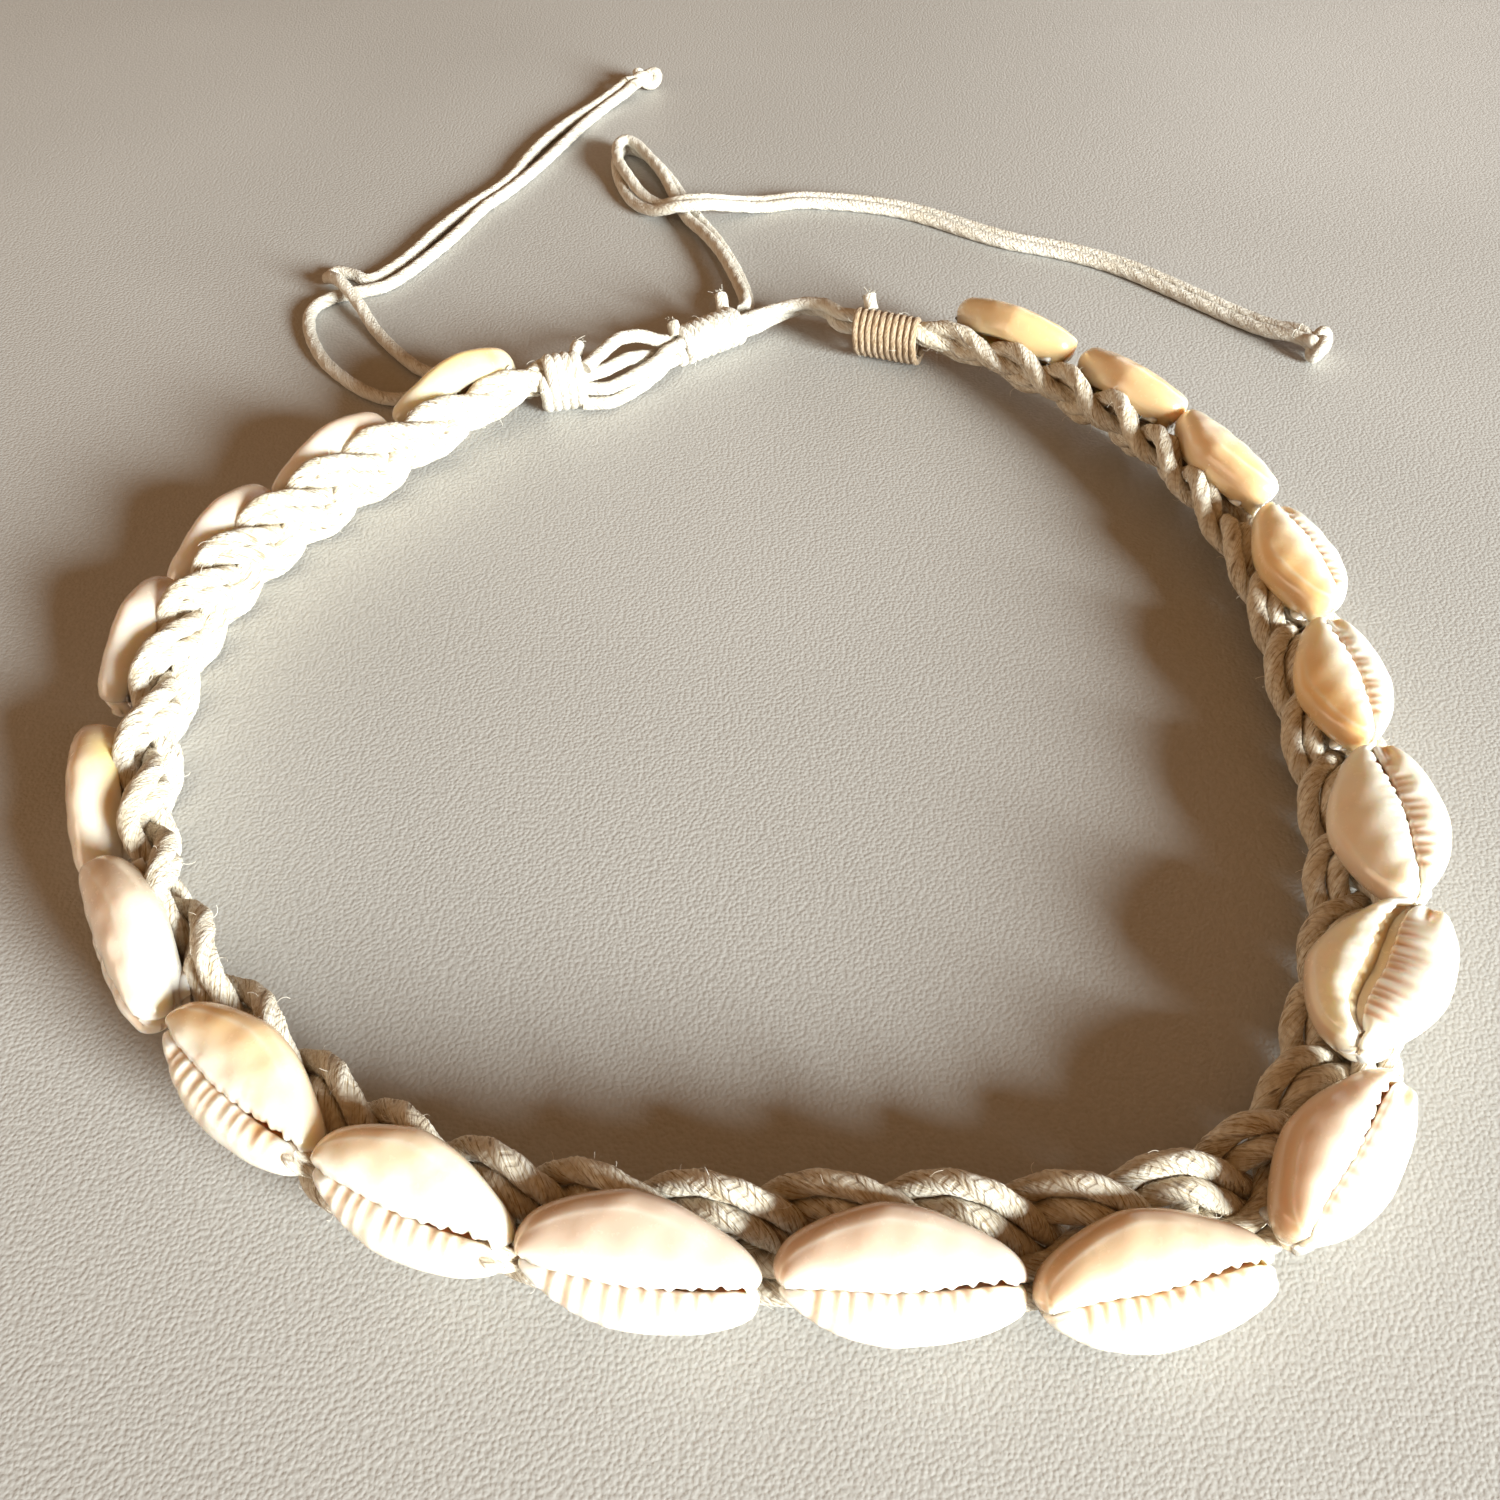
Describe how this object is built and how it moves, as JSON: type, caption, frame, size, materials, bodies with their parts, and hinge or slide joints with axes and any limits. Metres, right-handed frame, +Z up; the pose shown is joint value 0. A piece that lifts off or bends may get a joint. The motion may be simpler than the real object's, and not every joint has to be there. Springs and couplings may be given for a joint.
{
  "type": "shell choker",
  "caption": "Choker of cut-back cowrie shells sewn along a flat plaited cotton cord, closed by a sliding knot with two pairs of loose knotted cord ends.",
  "frame": {"origin": "on the surface that the choker lies on, under the middle of its closed loop's box", "axes": "+Z up, -Y towards the front of the choker, +X to the right seen from the front"},
  "size_m": [0.1399, 0.2096, 0.0116],
  "materials": {
    "shell": "glossy",
    "cord": "matte"
  },
  "bodies": {
    "root": {"shell_01": "shell", "shell_02": "shell", "shell_03": "shell", "shell_04": "shell", "shell_05": "shell", "shell_06": "shell", "shell_07": "shell", "shell_08": "shell", "shell_09": "shell", "shell_10": "shell", "shell_11": "shell", "shell_12": "shell", "shell_13": "shell", "shell_14": "shell", "shell_15": "shell", "shell_16": "shell", "shell_17": "shell", "shell_18": "shell", "shell_19": "shell", "plait": "cord", "left_binding": "cord", "right_binding": "cord", "slide_knot": "cord", "eye_cord_a": "cord", "eye_cord_b": "cord", "eye_cord_c": "cord", "eye_cord_d": "cord", "bridge_cord_a": "cord", "bridge_cord_b": "cord", "left_tail_a": "cord", "left_tail_b": "cord", "left_end_knot": "cord", "right_tail_a": "cord", "right_tail_b": "cord", "right_end_knot": "cord"}
  },
  "joints": []
}
